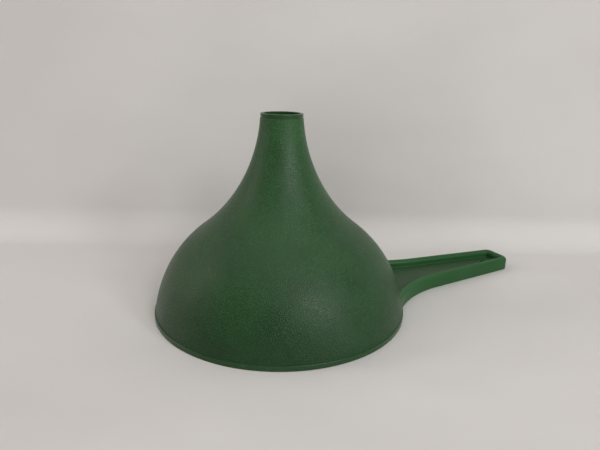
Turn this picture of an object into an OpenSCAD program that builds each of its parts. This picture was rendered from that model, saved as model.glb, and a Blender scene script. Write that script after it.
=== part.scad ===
// Household funnel with a channelled handle, standing on its mouth.
// Millimetres. +Z runs up the bell's axis to the spout, +X along the handle.
// The origin is on the bell's axis, in the plane of the mouth.

/* [Bell] */
// Outside diameter of the mouth, over the rim bead
mouth_d = 125; // [123:0.5:127]
// Height from the mouth to the tip of the spout
height = 97; // [95:0.5:99]
// Wall thickness of the bell and the spout
wall = 1.6; // [1.2:0.1:2]
// Section radius of the domed lower part
dome_r = 59.2; // [58.2:0.2:60.2]
// How far the dome's section centre lies under the mouth
dome_drop = 5.6; // [5:0.1:6.2]

/* [Spout] */
// Outside diameter of the plain lip at the tip
tip_d = 20; // [19.5:0.1:20.5]
// Height of the plain lip
lip_h = 2; // [1.6:0.1:2.4]
// Step from the grained spout in to the plain lip
lip_step = 0.15; // [0.1:0.05:0.2]
// Rounding of the lip's top edges
lip_round = 0.3; // [0.2:0.05:0.4]
// Slope of the spout from the axis where it meets the lip, in degrees
spout_angle = 4; // [3.5:0.1:5]

/* [Rim bead] */
// Height of the bead round the mouth
bead_h = 2.4; // [2:0.1:2.8]
// How far the bead stands out from the bell
bead_proud = 0.4; // [0.35:0.05:0.6]
// Rounding of the bead's top outer edge
bead_round = 0.3; // [0.2:0.05:0.3]

/* [Handle] */
// Distance from the bell's axis to the end of the handle
reach = 150.5; // [148:0.5:153]
// Height of the side walls
side_h = 7.5; // [6.5:0.1:8.5]
// Thickness of the side walls, which are fully rounded on top
side_t = 4.2; // [3.8:0.1:4.4]
// Half-width where the flare to the bell starts
flare_w = 14.7; // [14:0.1:15.4]
// Distance from the axis to where the flare starts
flare_x = 90; // [88:0.5:92]
// Plan radius of the flare
flare_r = 62; // [60:0.5:64]
// Taper of each side, in degrees
taper = 5.5; // [5:0.1:6]
// Plan radius of the two end corners
corner_r = 4.5; // [4.5:0.1:5]

/* [Handle web] */
// Height of the web's underside over the mouth plane
web_z = 1.4; // [1:0.1:1.8]
// Thickness of the web
web_t = 2; // [1.6:0.1:2.4]
// Diameter of the hanging hole
hole_d = 4; // [3.5:0.1:5]
// Distance from the axis to the hanging hole
hole_x = 138.5; // [136:0.5:139]

/* [Hidden] */
mouth_r = mouth_d / 2;
// dome arc: centre (c1r, c1z), radius dome_r
c1z = -dome_drop;
c1r = mouth_r - bead_proud - sqrt(pow(dome_r, 2) - pow(bead_h - c1z, 2));
// neck arc: meets the lip at spout_angle and is tangent to the dome
top_z = height - lip_h;
top_r = tip_d / 2 + lip_step;
ar = top_r - c1r;
az = top_z - c1z;
neck_r = (ar * ar + az * az - dome_r * dome_r)
    / (2 * (dome_r - ar * cos(spout_angle) - az * sin(spout_angle)));
c2r = top_r + neck_r * cos(spout_angle);
c2z = top_z + neck_r * sin(spout_angle);
// direction from the dome's centre to the neck's: the joint line
jlen = sqrt(pow(c2r - c1r, 2) + pow(c2z - c1z, 2));
jr = (c2r - c1r) / jlen;
jz = (c2z - c1z) / jlen;
bore_r = c2r - sqrt(pow(neck_r + wall, 2) - pow(c2z - top_z, 2));
bead_in_r = c1r + sqrt(pow(dome_r - wall, 2) - pow(bead_h - c1z, 2));
// handle plan: flare centre, side run and corner centre
fcx = flare_x + flare_r * sin(taper);
fcy = flare_w + flare_r * cos(taper);
ccx = reach - corner_r;
ccy = flare_w - (ccx - flare_x) * tan(taper) - corner_r / cos(taper);
end_x = ccx + corner_r * sin(taper);
end_y = ccy + corner_r * cos(taper);
run = (end_x - flare_x) / cos(taper);
in_x = flare_x - side_t * sin(taper);
in_y = flare_w - side_t * cos(taper);
tail_x = ccx + (corner_r - side_t) * sin(taper);
tail_y = ccy + (corner_r - side_t) * cos(taper);
side_top = side_t / 2;
$fn = 96;

// ---- sections, radius across and height up ----

module dome_section() {
    s = (bead_h - c1z) / jz;
    intersection() {
        translate([c1r, c1z]) difference() {
            circle(r = dome_r);
            circle(r = dome_r - wall);
        }
        polygon([[c1r + s * jr, bead_h], [mouth_r + 40, bead_h],
                 [mouth_r + 40, c1z + 90 * jz], [c1r + 90 * jr, c1z + 90 * jz]]);
    }
}

module neck_section() {
    t = (c2z - top_z) / jz;
    intersection() {
        translate([c2r, c2z]) difference() {
            circle(r = neck_r + wall);
            circle(r = neck_r);
        }
        polygon([[c2r - t * jr, top_z], [c2r - 130 * jr, c2z - 130 * jz],
                 [-70, c2z - 130 * jz], [-70, top_z]]);
    }
}

module lip_section() {
    ro = tip_d / 2;
    translate([bore_r, top_z]) square([ro - bore_r, lip_h - lip_round]);
    translate([bore_r + lip_round, top_z + lip_h - lip_round])
        square([ro - bore_r - 2 * lip_round, lip_round]);
    for (r = [bore_r + lip_round, ro - lip_round])
        translate([r, height - lip_round]) intersection() {
            circle(r = lip_round);
            translate([-lip_round, 0]) square([2 * lip_round, lip_round]);
        }
}

module bead_section() {
    translate([bead_in_r, 0]) square([mouth_r - bead_in_r, bead_h - bead_round]);
    translate([bead_in_r, bead_h - bead_round])
        square([mouth_r - bead_round - bead_in_r, bead_round]);
    translate([mouth_r - bead_round, bead_h - bead_round]) intersection() {
        circle(r = bead_round);
        square(bead_round);
    }
}

// The handle's side in section: square below, fully rounded above.
module side_section() {
    square([side_t, side_h - side_top]);
    translate([side_top, side_h - side_top]) intersection() {
        circle(r = side_top);
        translate([-side_top, 0]) square([side_t, side_top]);
    }
}

// Everything inside the outer surface of the bell and the bead, low down.
module bell_envelope() {
    rotate_extrude() {
        translate([0, -1]) square([mouth_r, 1 + bead_h]);
        square([c1r + 20, 24]);
        intersection() {
            translate([c1r, c1z]) circle(r = dome_r);
            translate([c1r + 10, 0]) square([dome_r, 24]);
        }
    }
}

// ---- sub-parts ----

module bell() {
    color("#2f5a37") rotate_extrude() dome_section();
}

module spout() {
    color("#35623d") rotate_extrude() neck_section();
}

module spout_lip() {
    color("#2c5630") rotate_extrude() lip_section();
}

module rim_bead() {
    color("#2a4f2e") rotate_extrude() bead_section();
}

module handle_web() {
    color("#3d5540") difference() {
        translate([0, 0, web_z]) linear_extrude(web_t) difference() {
            polygon([[45, -36], [in_x, -36], [in_x, -in_y], [tail_x, -tail_y],
                     [reach - side_t, -ccy], [reach - side_t, ccy],
                     [tail_x, tail_y], [in_x, in_y], [in_x, 36], [45, 36]]);
            translate([fcx, fcy]) circle(r = flare_r + side_t);
            translate([fcx, -fcy]) circle(r = flare_r + side_t);
            translate([hole_x, 0]) circle(d = hole_d);
        }
        bell_envelope();
    }
}

// The curved root of a side wall, cut where it meets the bell.
module flare() {
    difference() {
        translate([fcx, fcy, 0]) rotate([0, 0, 222 - taper])
            rotate_extrude(angle = 48) translate([flare_r, 0]) side_section();
        bell_envelope();
    }
}

// The straight, tapering part of a side wall.
module side() {
    translate([end_x, end_y, 0]) rotate([90, 0, 270 - taper])
        linear_extrude(run) side_section();
}

module handle_flare_left() {
    color("#2e5d33") flare();
}

module handle_flare_right() {
    color("#2e5d33") mirror([0, 1, 0]) flare();
}

module handle_side_left() {
    color("#2e5d33") side();
}

module handle_side_right() {
    color("#2e5d33") mirror([0, 1, 0]) side();
}

module corner() {
    translate([ccx, ccy, 0]) rotate_extrude(angle = 90 - taper)
        translate([corner_r - side_t, 0]) side_section();
}

module handle_end() {
    color("#2e5d33") {
        corner();
        mirror([0, 1, 0]) corner();
        translate([reach, -ccy, 0]) rotate([90, 0, 180])
            linear_extrude(2 * ccy) side_section();
    }
}

bell();
spout();
spout_lip();
rim_bead();
handle_web();
handle_flare_left();
handle_flare_right();
handle_side_left();
handle_side_right();
handle_end();
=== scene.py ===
"""Household funnel, standing on its mouth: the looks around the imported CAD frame.

Units are metres, in the CAD frame: +Z up the bell's axis, +X along the handle, origin in the mouth plane.
"""
import math

import bpy
from mathutils import Matrix, Vector
from mathutils.geometry import delaunay_2d_cdt


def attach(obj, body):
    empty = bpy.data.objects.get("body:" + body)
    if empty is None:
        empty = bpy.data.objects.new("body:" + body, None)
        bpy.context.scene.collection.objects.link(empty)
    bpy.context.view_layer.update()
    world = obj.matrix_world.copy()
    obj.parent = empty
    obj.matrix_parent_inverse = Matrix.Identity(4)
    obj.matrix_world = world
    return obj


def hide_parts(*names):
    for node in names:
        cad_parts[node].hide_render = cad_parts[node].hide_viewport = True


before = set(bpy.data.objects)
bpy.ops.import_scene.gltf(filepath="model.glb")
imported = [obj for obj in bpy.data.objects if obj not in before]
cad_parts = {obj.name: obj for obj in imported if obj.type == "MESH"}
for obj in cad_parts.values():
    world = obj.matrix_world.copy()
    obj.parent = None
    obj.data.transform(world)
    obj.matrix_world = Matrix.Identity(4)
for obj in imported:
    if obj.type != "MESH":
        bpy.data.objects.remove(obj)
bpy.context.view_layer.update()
MM = 0.001
RAD = math.radians

# ---------------------------------------------------------------- the design's own numbers, in millimetres
MOUTH_R, HEIGHT, WALL = 62.5, 97.0, 1.6
DOME_R, DOME_Z = 59.2, -5.6
TIP_R, LIP_H, LIP_STEP, LIP_ROUND, SPOUT_A = 10.0, 2.0, 0.15, 0.3, 4.0
BEAD_H, BEAD_PROUD, BEAD_ROUND = 2.4, 0.4, 0.3
REACH, SIDE_H, SIDE_T = 150.5, 7.5, 4.2
FLARE_W, FLARE_X, FLARE_R, TAPER, CORNER_R = 14.7, 90.0, 62.0, 5.5, 4.5
WEB_Z, WEB_T, HOLE_R, HOLE_X = 1.4, 2.0, 2.0, 138.5

C1R = MOUTH_R - BEAD_PROUD - math.sqrt(DOME_R ** 2 - (BEAD_H - DOME_Z) ** 2)
TOP_Z = HEIGHT - LIP_H
TOP_R = TIP_R + LIP_STEP
_ar, _az = TOP_R - C1R, TOP_Z - DOME_Z
NECK_R = (_ar ** 2 + _az ** 2 - DOME_R ** 2) / (
    2 * (DOME_R - _ar * math.cos(RAD(SPOUT_A)) - _az * math.sin(RAD(SPOUT_A))))
C2R = TOP_R + NECK_R * math.cos(RAD(SPOUT_A))
C2Z = TOP_Z + NECK_R * math.sin(RAD(SPOUT_A))
_jl = math.hypot(C2R - C1R, C2Z - DOME_Z)
JR, JZ = (C2R - C1R) / _jl, (C2Z - DOME_Z) / _jl
JOINT_A = math.atan2(JZ, JR)


def r_out(z):
    """Outer radius of the bell and the spout at height z."""
    if z < DOME_Z + DOME_R * JZ:
        return C1R + math.sqrt(DOME_R ** 2 - (z - DOME_Z) ** 2)
    return C2R - math.sqrt(NECK_R ** 2 - (z - C2Z) ** 2)


def skin(z):
    """Outer radius at height z with the rim bead."""
    return MOUTH_R if z < BEAD_H else r_out(z)


# ---------------------------------------------------------------- mesh helpers
def finish_mesh(name, verts, faces, normals=None, sharp=None):
    mesh = bpy.data.meshes.new(name)
    mesh.from_pydata([(x * MM, y * MM, z * MM) for x, y, z in verts], [], faces)
    mesh.validate(clean_customdata=False)
    mesh.polygons.foreach_set("use_smooth", [True] * len(mesh.polygons))
    if sharp is not None:
        mesh.set_sharp_from_angle(angle=RAD(sharp))
    if normals is not None:
        mesh.normals_split_custom_set(normals)
    mesh.update()
    obj = bpy.data.objects.new(name, mesh)
    bpy.context.scene.collection.objects.link(obj)
    return obj


def revolve(name, parts, n=288):
    """A closed ring about Z. parts is a loop of polylines of (r, z, nr, nz), each starting where the last one ended.
    The loop runs up the outside and down the inside, and the stated normals are kept on the faces."""
    rows = [p for part in parts for p in part[:-1]]
    verts, faces, normals = [], [], []
    trig = [(math.cos(2 * math.pi * k / n), math.sin(2 * math.pi * k / n)) for k in range(n)]
    for r, z, _, _ in rows:
        verts += [(r * c, r * s, z) for c, s in trig]
    total = len(rows)
    i = 0
    for part in parts:
        for a, b in zip(part[:-1], part[1:]):
            j = (i + 1) % total
            for k in range(n):
                m = (k + 1) % n
                faces.append((i * n + k, i * n + m, j * n + m, j * n + k))
                for p, q in ((a, k), (a, m), (b, m), (b, k)):
                    c, s = trig[q]
                    normals.append((p[2] * c, p[2] * s, p[3]))
            i += 1
    return finish_mesh(name, verts, faces, normals)


def arc(cr, cz, r, a0, a1, steps, side=1.0):
    """Points of an arc, with normals away from its centre (side 1) or towards it (side -1). Angles in radians."""
    out = []
    for k in range(steps + 1):
        a = a0 + (a1 - a0) * k / steps
        c, s = math.cos(a), math.sin(a)
        out.append((cr + r * c, cz + r * s, side * c, side * s))
    return out


def line(r0, z0, r1, z1, nr, nz, steps=1):
    return [(r0 + (r1 - r0) * k / steps, z0 + (z1 - z0) * k / steps, nr, nz) for k in range(steps + 1)]


# ---------------------------------------------------------------- bell, spout, lip and bead
def make_bell():
    z0 = BEAD_H - 0.3  # runs down into the bead
    a0o = math.asin((z0 - DOME_Z) / DOME_R)
    a0i = math.asin((z0 - DOME_Z) / (DOME_R - WALL))
    outer = arc(C1R, DOME_Z, DOME_R, a0o, JOINT_A, 56)
    inner = arc(C1R, DOME_Z, DOME_R - WALL, JOINT_A, a0i, 56, -1)
    cut = line(*outer[-1][:2], *inner[0][:2], -JZ, JR)
    foot = line(*inner[-1][:2], *outer[0][:2], 0, -1)
    return revolve("bell_shell", [outer, cut, inner, foot])


def make_spout():
    e = 0.1  # the grained face stops in a small rounded edge under the plain lip
    a_top = math.pi + RAD(SPOUT_A)
    a_j = math.pi + JOINT_A
    a_e = a_top + e / NECK_R
    a_in = math.pi + math.asin((C2Z - TOP_Z) / (NECK_R + WALL))
    outer = arc(C2R, C2Z, NECK_R, a_j, a_e, 64, -1)
    pr, pz = outer[-1][:2]
    edge = []
    for k in range(5):
        t = RAD(90 * k / 4)
        edge.append((pr - e + e * math.cos(t), TOP_Z - e + e * math.sin(t), math.cos(t), math.sin(t)))
    edge[0] = (pr, pz, 1, 0)
    inner = arc(C2R, C2Z, NECK_R + WALL, a_in, a_j, 64, 1)
    top = line(*edge[-1][:2], *inner[0][:2], 0, 1)
    cut = line(*inner[-1][:2], *outer[0][:2], JZ, -JR)
    return revolve("spout_tube", [outer, edge, top, inner, cut])


def make_lip():
    bore = C2R - math.sqrt((NECK_R + WALL) ** 2 - (C2Z - TOP_Z) ** 2)
    q = LIP_ROUND
    h = math.pi / 2
    outer = line(TIP_R, TOP_Z, TIP_R, HEIGHT - q, 1, 0, 2)
    ro = arc(TIP_R - q, HEIGHT - q, q, 0, h, 8)
    top = line(TIP_R - q, HEIGHT, bore + q, HEIGHT, 0, 1)
    ri = arc(bore + q, HEIGHT - q, q, h, 2 * h, 8)
    inner = line(bore, HEIGHT - q, bore, TOP_Z, -1, 0, 2)
    foot = line(bore, TOP_Z, TIP_R, TOP_Z, 0, -1)
    return revolve("tip_lip", [outer, ro, top, ri, inner, foot])


def make_bead():
    ri = C1R + math.sqrt((DOME_R - WALL) ** 2 - (BEAD_H - DOME_Z) ** 2)
    q, b = BEAD_ROUND, 0.25
    h = math.pi / 2
    outer = line(MOUTH_R, b, MOUTH_R, BEAD_H - q, 1, 0, 3)
    top_round = arc(MOUTH_R - q, BEAD_H - q, q, 0, h, 8)
    top = line(MOUTH_R - q, BEAD_H, ri, BEAD_H, 0, 1)
    inner = line(ri, BEAD_H, ri, b, -1, 0, 3)
    in_round = arc(ri + b, b, b, 2 * h, 3 * h, 6)
    foot = line(ri + b, 0, MOUTH_R - b, 0, 0, -1)
    out_round = arc(MOUTH_R - b, b, b, 3 * h, 4 * h, 6)
    return revolve("mouth_bead", [outer, top_round, top, inner, in_round, foot, out_round])


# ---------------------------------------------------------------- the handle's side wall, one swept moulding
ST, CT = math.sin(RAD(TAPER)), math.cos(RAD(TAPER))
FX, FY = FLARE_X + FLARE_R * ST, FLARE_W + FLARE_R * CT
F_LEN, F_ANG = math.hypot(FX, FY), math.atan2(FY, FX)
F_TAN = math.atan2(FLARE_W - FY, FLARE_X - FX)          # where the flare meets the straight run
ROOT_R = 0.9                                            # fillet where the walls grow out of the bell


def flare_angle(s, rho):
    """Angle round the flare's centre at which the offset line s lies at distance rho from the bell's axis."""
    radius = FLARE_R + s
    c = (rho ** 2 - F_LEN ** 2 - radius ** 2) / (2 * F_LEN * radius)
    a = F_ANG - math.acos(max(-1.0, min(1.0, c)))
    return (a + math.pi) % (2 * math.pi) - math.pi


def flare_point(s, a):
    radius = FLARE_R + s
    return FX + radius * math.cos(a), FY + radius * math.sin(a)


def mitre(q):
    """Where the straight run and the end wall meet, both moved in by q."""
    t = (REACH - q - FLARE_X + q * ST) / CT
    return FLARE_X - q * ST + t * CT, FLARE_W - q * CT - t * ST


def wall_line(s, z):
    """Plan points of one line of the wall, from inside the bell on the +Y side to the middle of the end."""
    pts = []
    base = skin(z)
    for deg in (None, 0, 12, 24, 36, 48, 60, 72, 84, 90):
        d = -0.8 if deg is None else ROOT_R * (1 - math.cos(RAD(deg)))
        grow = ROOT_R if deg is None else ROOT_R * (1 - math.sin(RAD(deg)))
        pts.append((*flare_point(s, flare_angle(s, base + d)), grow))
    a0 = flare_angle(s, base + ROOT_R)
    n = 26
    for k in range(1, n + 1):
        pts.append((*flare_point(s, a0 + (F_TAN - a0) * k / n), 0.0))
    r = max(CORNER_R - s, 0.06)
    cx, cy = mitre(s + r)
    x0, y0 = FLARE_X - s * ST, FLARE_W - s * CT
    x1, y1 = cx + r * ST, cy + r * CT
    for k in range(1, 13):
        pts.append((x0 + (x1 - x0) * k / 12, y0 + (y1 - y0) * k / 12, 0.0))
    for k in range(1, 13):
        a = RAD((90 - TAPER) * (1 - k / 12))
        pts.append((cx + r * math.cos(a), cy + r * math.sin(a), 0.0))
    pts.append((cx + r, cy * 0.5, 0.0))
    pts.append((cx + r, 0.0, 0.0))
    return pts


def wall_section():
    """(s across, z up, ns, nz): the wall's outline, with its outward direction for the root fillet."""
    q, top = 0.3, SIDE_T / 2
    zc = SIDE_H - top
    out = []
    for k in range(5):
        a = RAD(270 - 90 * k / 4)
        out.append((q + q * math.cos(a), q + q * math.sin(a), math.cos(a), math.sin(a)))
    for z in (1.3, 2.3, 2.5, 3.6, 4.6):
        out.append((0.0, z, -1.0, 0.0))
    for k in range(21):
        a = RAD(180 - 180 * k / 20)
        out.append((top + top * math.cos(a), zc + top * math.sin(a), math.cos(a), math.sin(a)))
    f, low = 0.35, WEB_Z + WEB_T - 0.015
    out.append((SIDE_T, 4.7, 1.0, 0.0))
    for k in range(7):
        a = RAD(180 + 90 * k / 6)
        c, s = math.cos(a), math.sin(a)
        out.append((SIDE_T + f + f * c, low + f + f * s, -c, -s))
    out.append((SIDE_T + f, low - 0.12, 0.0, 0.0))
    out.append((SIDE_T, low - 0.12, 0.0, 0.0))
    out.append((SIDE_T, 1.3, 1.0, 0.0))
    for k in range(5):
        a = RAD(0 - 90 * k / 4)
        out.append((SIDE_T - q + q * math.cos(a), q + q * math.sin(a), math.cos(a), math.sin(a)))
    return out


def make_handle_rim():
    section = wall_section()
    lines = []
    for s, z, ns, nz in section:
        half = []
        # the fillet grows the section outward near the bell, so the plan line is taken at the grown offset
        for j, (x, y, grow) in enumerate(wall_line(s, z)):
            if grow:
                s2 = s + ns * grow
                z2 = max(z + nz * grow, 0.0)
                base = skin(z2 if z >= BEAD_H else min(z2, BEAD_H - 0.05))
                deg = (None, 0, 12, 24, 36, 48, 60, 72, 84, 90)[j]
                d = -0.8 if deg is None else ROOT_R * (1 - math.cos(RAD(deg)))
                x, y = flare_point(s2, flare_angle(s2, base + d))
                half.append((x, y, z2))
            else:
                half.append((x, y, z))
        lines.append(half + [(x, -y, z) for x, y, z in reversed(half[:-1])])
    m, n = len(lines), len(lines[0])
    verts = [p for ln in lines for p in ln]
    faces = []
    for i in range(m):
        j = (i + 1) % m
        for k in range(n - 1):
            faces.append((i * n + k, i * n + k + 1, j * n + k + 1, j * n + k))
    faces.append(tuple(i * n for i in range(m)))
    faces.append(tuple(i * n + n - 1 for i in reversed(range(m))))
    return finish_mesh("handle_rim", verts, faces, sharp=34)


# ---------------------------------------------------------------- the handle's floor, with the hanging hole
def make_handle_floor():
    s = SIDE_T - 0.5     # runs half a millimetre into the walls
    r_bell = skin(BEAD_H) - 1.0
    a0 = flare_angle(s, r_bell)
    half = [flare_point(s, a0 + (F_TAN - a0) * k / 24) for k in range(25)]
    r = CORNER_R - s
    cx, cy = mitre(s + r)
    for k in range(9):
        a = RAD((90 - TAPER) * (1 - k / 8))
        half.append((cx + r * math.cos(a), cy + r * math.sin(a)))
    b0 = math.atan2(half[0][1], half[0][0])
    bell_edge = [(r_bell * math.cos(b0 * t / 12), r_bell * math.sin(b0 * t / 12)) for t in range(-11, 12)]
    outline = half[::-1] + bell_edge[::-1] + [(x, -y) for x, y in half]
    outline = [p for i, p in enumerate(outline) if math.dist(p, outline[i - 1]) > 1e-4]
    nh = 64
    q = 0.3
    ring = [(math.cos(2 * math.pi * k / nh), math.sin(2 * math.pi * k / nh)) for k in range(nh)]
    outer_ring = [(HOLE_X + (HOLE_R + 0.7) * c, (HOLE_R + 0.7) * t) for c, t in ring]
    pts = [Vector(p) for p in outline] + [Vector(p) for p in outer_ring]
    no = len(outline)
    edges = [(i, (i + 1) % no) for i in range(no)] + [(no + i, no + (i + 1) % nh) for i in range(nh)]
    cv, _, cf, *_ = delaunay_2d_cdt(pts, edges, [], 0, 1e-7)
    if len(cv) != len(pts):
        raise RuntimeError("the handle floor's outline crosses itself")

    def inside(x, y):
        hit = False
        for i in range(no):
            (x0, y0), (x1, y1) = outline[i], outline[i - 1]
            if (y0 > y) != (y1 > y) and x < (x1 - x0) * (y - y0) / (y1 - y0) + x0:
                hit = not hit
        return hit

    tris = []
    for f in cf:
        mx = sum(cv[i].x for i in f) / 3
        my = sum(cv[i].y for i in f) / 3
        if inside(mx, my) and math.hypot(mx - HOLE_X, my) > HOLE_R + 0.69:
            area = ((cv[f[1]] - cv[f[0]]).cross(cv[f[2]] - cv[f[0]]))
            tris.append(tuple(f) if area > 0 else tuple(reversed(f)))
    z0, z1 = WEB_Z, WEB_Z + WEB_T
    verts, faces = [], []
    npt = len(cv)
    verts += [(p.x, p.y, z1) for p in cv]
    verts += [(p.x, p.y, z0) for p in cv]
    faces += tris
    faces += [tuple(npt + i for i in reversed(f)) for f in tris]
    area = sum(outline[i - 1][0] * outline[i][1] - outline[i][0] * outline[i - 1][1] for i in range(no))
    for i in range(no):
        j = (i + 1) % no
        a, b = (i, j) if area > 0 else (j, i)
        faces.append((a, npt + a, npt + b, b))
    # rings down through the hole, with a rounded edge above and below
    prof = [(HOLE_R + 0.7, z1)]
    prof += [(HOLE_R + q - q * math.sin(RAD(15 * k)), z1 - q + q * math.cos(RAD(15 * k))) for k in range(7)]
    prof += [(HOLE_R + q - q * math.cos(RAD(15 * k)), z0 + q - q * math.sin(RAD(15 * k))) for k in range(7)]
    prof += [(HOLE_R + 0.7, z0)]
    rings = [[no + k for k in range(nh)]]
    for r_, z_ in prof[1:-1]:
        rings.append([len(verts) + k for k in range(nh)])
        verts += [(HOLE_X + r_ * c, r_ * t, z_) for c, t in ring]
    rings.append([npt + no + k for k in range(nh)])
    for a, b in zip(rings[:-1], rings[1:]):
        for k in range(nh):
            m = (k + 1) % nh
            faces.append((a[k], b[k], b[m], a[m])[::-1])
    return finish_mesh("handle_floor", verts, faces, sharp=34)


def make_floor_root():
    """The small fillet where the handle's floor grows out of the bell."""
    q = ROOT_R
    z_top = WEB_Z + WEB_T - 0.01
    zb = z_top + q
    for _ in range(6):
        sn = (zb - DOME_Z) / DOME_R
        zb = z_top + q - q * sn
    a_n = math.asin((zb - DOME_Z) / DOME_R)
    pr, pz = r_out(zb), zb
    cr, cz = pr + q * math.cos(a_n), pz + q * math.sin(a_n)
    prof = []
    for k in range(11):
        a = math.pi + a_n + (1.5 * math.pi - math.pi - a_n) * k / 10
        prof.append((cr + q * math.cos(a), cz + q * math.sin(a)))
    prof[0] = (prof[0][0] - 0.02, prof[0][1])
    prof += [(prof[-1][0], z_top - 0.2), (pr - 0.6, z_top - 0.2), (pr - 0.6, prof[0][1])]
    s = SIDE_T - 0.4
    ang = math.atan2(*reversed(flare_point(s, flare_angle(s, pr))))
    n = 40
    verts, faces = [], []
    m = len(prof)
    for k in range(n + 1):
        a = -ang + 2 * ang * k / n
        verts += [(r * math.cos(a), r * math.sin(a), z) for r, z in prof]
    for k in range(n):
        for i in range(m):
            j = (i + 1) % m
            faces.append((k * m + i, k * m + j, (k + 1) * m + j, (k + 1) * m + i))
    faces.append(tuple(reversed(range(m))))
    faces.append(tuple(n * m + i for i in range(m)))
    return finish_mesh("handle_floor_root", verts, faces, sharp=34)


def make_outward(obj):
    """Turns a closed mesh's faces outward, where its signed volume is negative."""
    mesh = obj.data
    mesh.calc_loop_triangles()
    vol = 0.0
    for t in mesh.loop_triangles:
        a, b, c = (mesh.vertices[i].co for i in t.vertices)
        vol += a.dot(b.cross(c)) / 6
    if vol < 0:
        if mesh.has_custom_normals:
            raise RuntimeError(obj.name + " is wound inside out")
        mesh.flip_normals()
    return vol


bell = make_bell()
spout = make_spout()
lip = make_lip()
bead = make_bead()
rim = make_handle_rim()
floor_ = make_handle_floor()
root = make_floor_root()
for o in (bell, spout, lip, bead, rim, floor_, root):
    print("volume", o.name, round(make_outward(o) * 1e9, 1), "mm3")


# ---------------------------------------------------------------- materials
class Mat:
    """A small helper that builds one node material."""

    def __init__(self, name):
        self.mat = bpy.data.materials.new(name)
        self.mat.use_nodes = True
        self.nt = self.mat.node_tree
        self.nt.nodes.clear()
        self.out = self.node("ShaderNodeOutputMaterial")
        self.bsdf = self.node("ShaderNodeBsdfPrincipled")
        self.link(self.bsdf.outputs["BSDF"], self.out.inputs["Surface"])
        self.co = self.node("ShaderNodeTexCoord").outputs["Object"]

    def node(self, kind, **props):
        n = self.nt.nodes.new(kind)
        for k, v in props.items():
            setattr(n, k, v)
        return n

    def link(self, a, b):
        self.nt.links.new(a, b)

    def noise(self, scale, detail=2.0, rough=0.5, co=None):
        n = self.node("ShaderNodeTexNoise")
        n.inputs["Scale"].default_value = scale
        n.inputs["Detail"].default_value = detail
        n.inputs["Roughness"].default_value = rough
        self.link(co or self.co, n.inputs["Vector"])
        return n.outputs["Fac"]

    def voronoi(self, scale, feature="F1", smooth=None, co=None):
        n = self.node("ShaderNodeTexVoronoi", feature=feature)
        n.inputs["Scale"].default_value = scale
        if smooth is not None:
            n.inputs["Smoothness"].default_value = smooth
        self.link(co or self.co, n.inputs["Vector"])
        return n.outputs["Distance"]

    def ramp(self, fac, lo, hi, a, b):
        n = self.node("ShaderNodeMapRange", interpolation_type="SMOOTHSTEP")
        n.inputs["From Min"].default_value = lo
        n.inputs["From Max"].default_value = hi
        n.inputs["To Min"].default_value = a
        n.inputs["To Max"].default_value = b
        self.link(fac, n.inputs["Value"])
        return n.outputs["Result"]

    def math(self, op, a, b):
        n = self.node("ShaderNodeMath", operation=op)
        for sock, v in zip(n.inputs, (a, b)):
            if isinstance(v, (int, float)):
                sock.default_value = v
            else:
                self.link(v, sock)
        return n.outputs[0]

    def mix(self, fac, a, b):
        n = self.node("ShaderNodeMix", data_type="RGBA")
        for sock, v in ((n.inputs[0], fac), (n.inputs[6], a), (n.inputs[7], b)):
            if isinstance(v, (int, float)):
                sock.default_value = v
            elif isinstance(v, tuple):
                sock.default_value = (*v, 1.0)
            else:
                self.link(v, sock)
        return n.outputs[2]

    def bump(self, height, distance, strength=1.0, normal=None):
        n = self.node("ShaderNodeBump")
        n.inputs["Strength"].default_value = strength
        n.inputs["Distance"].default_value = distance
        self.link(height, n.inputs["Height"])
        if normal is not None:
            self.link(normal, n.inputs["Normal"])
        return n.outputs["Normal"]


GREEN = (0.0290, 0.0935, 0.0310)


def tint(c, k, lift=0.0):
    return tuple(min(1.0, v * k + lift) for v in c)


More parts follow.
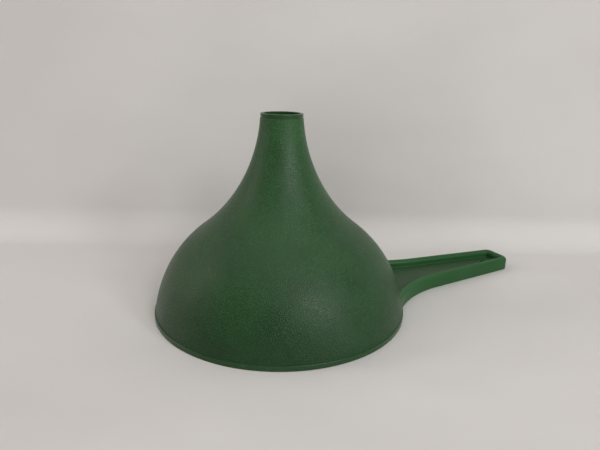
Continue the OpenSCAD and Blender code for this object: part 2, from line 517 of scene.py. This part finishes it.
def moulded(name, colour, rough, grain=0.0, specular=0.5, mottle=0.10, spread=0.05, scuff=0.0):
    """Dyed moulded plastic. grain is the depth of the spark-eroded texture, in metres; 0 is a plain moulded face."""
    m = Mat(name)
    m.bsdf.inputs["IOR"].default_value = 1.49
    m.bsdf.inputs["Specular IOR Level"].default_value = specular
    # dye: slow, faint drift in depth of colour, and a finer mottle
    drift = m.ramp(m.noise(38.0, 3.0, 0.55), 0.35, 0.65, 0.0, 1.0)
    fleck = m.ramp(m.noise(900.0, 2.0, 0.6), 0.3, 0.7, 0.0, 1.0)
    col = m.mix(drift, tint(colour, 1 - mottle), tint(colour, 1 + mottle))
    col = m.mix(m.math("MULTIPLY", fleck, 0.35), col, tint(colour, 1 + 2.2 * mottle, 0.002))
    worn = None
    if scuff:
        # hair-fine rubs that read slightly paler
        n = m.noise(140.0, 6.0, 0.75)
        worn = m.ramp(n, 0.62, 0.72, 0.0, scuff)
        col = m.mix(worn, col, tint(colour, 1.5, 0.02))
    m.link(col, m.bsdf.inputs["Base Color"])
    r = m.ramp(m.noise(75.0, 4.0, 0.6), 0.3, 0.7, rough - spread, rough + spread)
    if grain:
        cells = m.voronoi(1950.0, "SMOOTH_F1", 0.35)
        pits = m.ramp(cells, 0.1, 0.62, 1.0, 0.0)
        fine = m.noise(1500.0, 2.0, 0.6)
        h = m.math("ADD", pits, m.math("MULTIPLY", fine, 1.3))
        r = m.math("ADD", r, m.math("MULTIPLY", m.math("SUBTRACT", pits, 0.5), -0.12))
        # painted shade in the pits and a painted highlight on the lands between them
        painted_pit_shade_land_light = m.ramp(m.math("ADD", m.math("MULTIPLY", pits, 0.5), m.math("MULTIPLY", fine, 0.5)), 0.3, 0.75, 0.0, 1.0)
        col = m.mix(painted_pit_shade_land_light, tint(colour, 0.76), tint(colour, 1.26, 0.001))
        drifted = m.node("ShaderNodeMix", data_type="RGBA", blend_type="MULTIPLY")
        drifted.inputs[0].default_value = 1.0
        m.link(col, drifted.inputs[6])
        m.link(m.mix(drift, (1 - mottle,) * 3, (1 + mottle,) * 3), drifted.inputs[7])
        # painted light and shade by height: the colour is painted paler up the neck and darker at the foot of the
        # bell, standing in for how the light falls there
        painted_light_height = m.node("ShaderNodeSeparateXYZ")
        m.link(m.co, painted_light_height.inputs["Vector"])
        painted_light_height_ramp = m.node("ShaderNodeMapRange")
        painted_light_height_ramp.inputs["From Min"].default_value = 0.0
        painted_light_height_ramp.inputs["From Max"].default_value = HEIGHT * MM
        painted_light_height_ramp.inputs["To Min"].default_value = 0.0
        painted_light_height_ramp.inputs["To Max"].default_value = 1.0
        m.link(painted_light_height.outputs["Z"], painted_light_height_ramp.inputs["Value"])
        painted_light_by_height = m.node("ShaderNodeMix", data_type="RGBA", blend_type="MULTIPLY")
        painted_light_by_height.inputs[0].default_value = 1.0
        m.link(drifted.outputs[2], painted_light_by_height.inputs[6])
        m.link(m.mix(painted_light_height_ramp.outputs["Result"], (0.78, 0.79, 0.78), (1.46, 1.34, 1.44)), painted_light_by_height.inputs[7])
        m.link(painted_light_by_height.outputs[2], m.bsdf.inputs["Base Color"])
        normal = m.bump(h, grain)
        m.link(normal, m.bsdf.inputs["Normal"])
    else:
        h = m.noise(520.0, 3.0, 0.55)
        wave = m.noise(95.0, 2.0, 0.5)
        normal = m.bump(wave, 0.00012)
        normal = m.bump(h, 0.000012, normal=normal)
        m.link(normal, m.bsdf.inputs["Normal"])
    m.link(r, m.bsdf.inputs["Roughness"])
    return m.mat


grained = moulded("grained_green", GREEN, 0.33, grain=0.00008, specular=0.33)
inside = moulded("smooth_inside_green", tint(GREEN, 0.95), 0.33, mottle=0.06, specular=0.40)
plain = moulded("plain_band_green", tint(GREEN, 0.80), 0.26, mottle=0.06, scuff=0.05, specular=0.40)
sides = moulded("handle_side_green", (0.0285, 0.1080, 0.0335), 0.42, mottle=0.07, scuff=0.08, specular=0.24)
web = moulded("handle_floor_green", tint(GREEN, 1.06), 0.44, grain=0.00003, mottle=0.08)


def give(obj, *mats):
    obj.data.materials.clear()
    for mat in mats:
        obj.data.materials.append(mat)


def inner_faces(obj, test):
    """Puts the faces that look at the axis on the second material."""
    for p in obj.data.polygons:
        c = p.center / MM
        if test(math.hypot(c.x, c.y), c.z):
            p.material_index = 1


give(bell, grained, inside)
inner_faces(bell, lambda r, z: math.hypot(r - C1R, z - DOME_Z) < DOME_R - WALL / 2)
give(spout, grained, inside)
inner_faces(spout, lambda r, z: math.hypot(r - C2R, z - C2Z) > NECK_R + WALL / 2)
give(lip, plain)
give(bead, plain)
give(rim, sides)
give(floor_, web)
give(root, web)

for obj, slot, nodes in (
        (bell, "grained_shell", ["bell"]),
        (spout, "grained_shell", ["spout"]),
        (lip, "plain_band", ["spout_lip"]),
        (bead, "plain_band", ["rim_bead"]),
        (rim, "handle_side", ["handle_flare_left", "handle_flare_right",
                              "handle_side_left", "handle_side_right", "handle_end"]),
        (floor_, "handle_web", ["handle_web"]),
        (root, "handle_web", [])):
    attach(obj, "root")
    if nodes:
        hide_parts(*nodes)

# ---------------------------------------------------------------- camera
PHI, THETA, RHO = RAD(25.62), RAD(17.04), RAD(-1.20)
rt = Vector((math.cos(PHI), -math.sin(PHI), 0))
fwd_h = Vector((math.sin(PHI), math.cos(PHI), 0))
up_z = Vector((0, 0, 1))
fw = fwd_h * math.cos(THETA) - up_z * math.sin(THETA)
up = fwd_h * math.sin(THETA) + up_z * math.cos(THETA)
rt2 = rt * math.cos(RHO) - up * math.sin(RHO)
up2 = up * math.cos(RHO) + rt * math.sin(RHO)
cam_data = bpy.data.cameras.new("camera")
cam_data.sensor_width = 36.0
cam_data.lens = 30.9
cam_data.clip_start = 0.01
cam_data.clip_end = 20.0
cam = bpy.data.objects.new("camera", cam_data)
bpy.context.scene.collection.objects.link(cam)
cam.matrix_world = Matrix((
    (rt2.x, up2.x, -fw.x, -0.09659),
    (rt2.y, up2.y, -fw.y, -0.22325),
    (rt2.z, up2.z, -fw.z, 0.11744),
    (0, 0, 0, 1)))
bpy.context.scene.camera = cam


def towards(az, el):
    """Direction az degrees to the image's right of the way back to the camera, el above the floor."""
    a, e = RAD(az), RAD(el)
    return rt * (math.sin(a) * math.cos(e)) - fwd_h * (math.cos(a) * math.cos(e)) + up_z * math.sin(e)


# ---------------------------------------------------------------- stage: a pale sheet swept up behind
def make_sheet():
    wall_at, fillet = 0.104, 0.022
    half_w = 1.6
    prof = [(-1.6, 0.0), (-0.6, 0.0), (0.0, 0.0), (wall_at - fillet, 0.0)]
    for k in range(1, 13):
        a = RAD(90 * k / 12)
        prof.append((wall_at - fillet + fillet * math.sin(a), fillet - fillet * math.cos(a)))
    for k in range(1, 7):
        prof.append((wall_at + 0.03 * k / 6, fillet + 1.4 * k / 6))
    verts, faces = [], []
    cols = 17
    for d, z in prof:
        for c in range(cols):
            x = -half_w + 2 * half_w * c / (cols - 1)
            p = fwd_h * d + rt * x
            verts.append((p.x / MM, p.y / MM, z / MM))
    for i in range(len(prof) - 1):
        for c in range(cols - 1):
            faces.append((i * cols + c, i * cols + c + 1, (i + 1) * cols + c + 1, (i + 1) * cols + c))
    return finish_mesh("pale_sheet", verts, faces)


sheet = make_sheet()
m = Mat("pale_sheet")
m.bsdf.inputs["Roughness"].default_value = 0.62
m.bsdf.inputs["Specular IOR Level"].default_value = 0.3
shade = m.ramp(m.noise(5.0, 2.0, 0.5), 0.3, 0.7, 0.0, 1.0)
m.link(m.mix(shade, (0.60, 0.580, 0.563), (0.64, 0.621, 0.606)), m.bsdf.inputs["Base Color"])
folds = m.bump(m.noise(13.0, 2.0, 0.45), 0.0045)
m.link(m.bump(m.noise(600.0, 3.0, 0.5), 0.00004, normal=folds), m.bsdf.inputs["Normal"])
# seen from behind or from below, the sheet lets the camera through
clear = m.node("ShaderNodeBsdfTransparent")
pick = m.node("ShaderNodeMixShader")
geo = m.node("ShaderNodeNewGeometry")
path = m.node("ShaderNodeLightPath")
m.link(m.math("MULTIPLY", geo.outputs["Backfacing"], path.outputs["Is Camera Ray"]), pick.inputs["Fac"])
m.link(m.bsdf.outputs["BSDF"], pick.inputs[1])
m.link(clear.outputs["BSDF"], pick.inputs[2])
m.link(pick.outputs["Shader"], m.out.inputs["Surface"])
give(sheet, m.mat)

# ---------------------------------------------------------------- light
target = Vector((0.01, 0.0, 0.045))


def area(name, az, el, dist, w, h, power, colour=(1, 1, 1)):
    data = bpy.data.lights.new(name, "AREA")
    data.shape = "RECTANGLE"
    data.size, data.size_y = w, h
    data.energy = power
    data.color = colour
    o = bpy.data.objects.new(name, data)
    d = towards(az, el)
    o.location = target + d * dist
    o.rotation_mode = "QUATERNION"
    o.rotation_quaternion = d.to_track_quat("Z", "Y")
    o.visible_camera = False
    bpy.context.scene.collection.objects.link(o)
    return o


# a tall soft source front right, warm lamps left, a broad soft panel above
area("key_upper", 30, 32, 1.4, 0.40, 0.40, 6.0, (1.0, 0.99, 0.97))
area("key_window", 49, 26, 1.4, 0.26, 0.34, 4.6, (0.97, 0.99, 1.0))
low = area("key_low", 49, 9, 1.4, 0.26, 0.30, 0.6, (0.97, 0.99, 1.0))
left = area("left_lamp", -93, 12, 1.4, 0.35, 0.35, 2.1, (1.0, 0.93, 0.84))
area("left_high", -88, 30, 1.4, 0.35, 0.35, 2.2, (1.0, 0.90, 0.78))
area("top_soft", -20, 82, 1.3, 1.5, 1.3, 8.0, (1.0, 1.0, 1.0))
# the two lamps near the floor light only the funnel, so they leave no pools of light on the sheet
pieces = bpy.data.collections.new("funnel_pieces")
for o in (bell, spout, lip, bead, rim, floor_, root):
    pieces.objects.link(o)
for lamp in (low, left):
    lamp.light_linking.receiver_collection = pieces
# the sheet is thin and glows a little more than the light on it, so it has a wash of its own
wash = bpy.data.collections.new("wash_on_sheet")
wash.objects.link(sheet)
for name, az, el, h, power in (("sheet_wash_left", -75, 30, 1.0, 4.2), ("sheet_wash_front", -14, 6, 0.3, 3.6)):
    lamp = area(name, az, el, 1.5, 1.0, h, power, (1.0, 0.97, 0.95))
    lamp.light_linking.receiver_collection = wash

world = bpy.data.worlds.new("studio")
bpy.context.scene.world = world
world.use_nodes = True
wt = world.node_tree
wt.nodes.clear()
dim = wt.nodes.new("ShaderNodeBackground")
dim.inputs["Color"].default_value = (0.96, 0.975, 1.0, 1)
dim.inputs["Strength"].default_value = 0.02
pale = wt.nodes.new("ShaderNodeBackground")
pale.inputs["Color"].default_value = (0.60, 0.565, 0.53, 1)
pale.inputs["Strength"].default_value = 1.0
ray = wt.nodes.new("ShaderNodeLightPath")
both = wt.nodes.new("ShaderNodeMixShader")
wt.links.new(ray.outputs["Is Camera Ray"], both.inputs["Fac"])
wt.links.new(dim.outputs["Background"], both.inputs[1])
wt.links.new(pale.outputs["Background"], both.inputs[2])
wo = wt.nodes.new("ShaderNodeOutputWorld")
wt.links.new(both.outputs["Shader"], wo.inputs["Surface"])

bpy.context.scene.view_settings.view_transform = "Standard"
bpy.context.scene.view_settings.gamma = 0.93
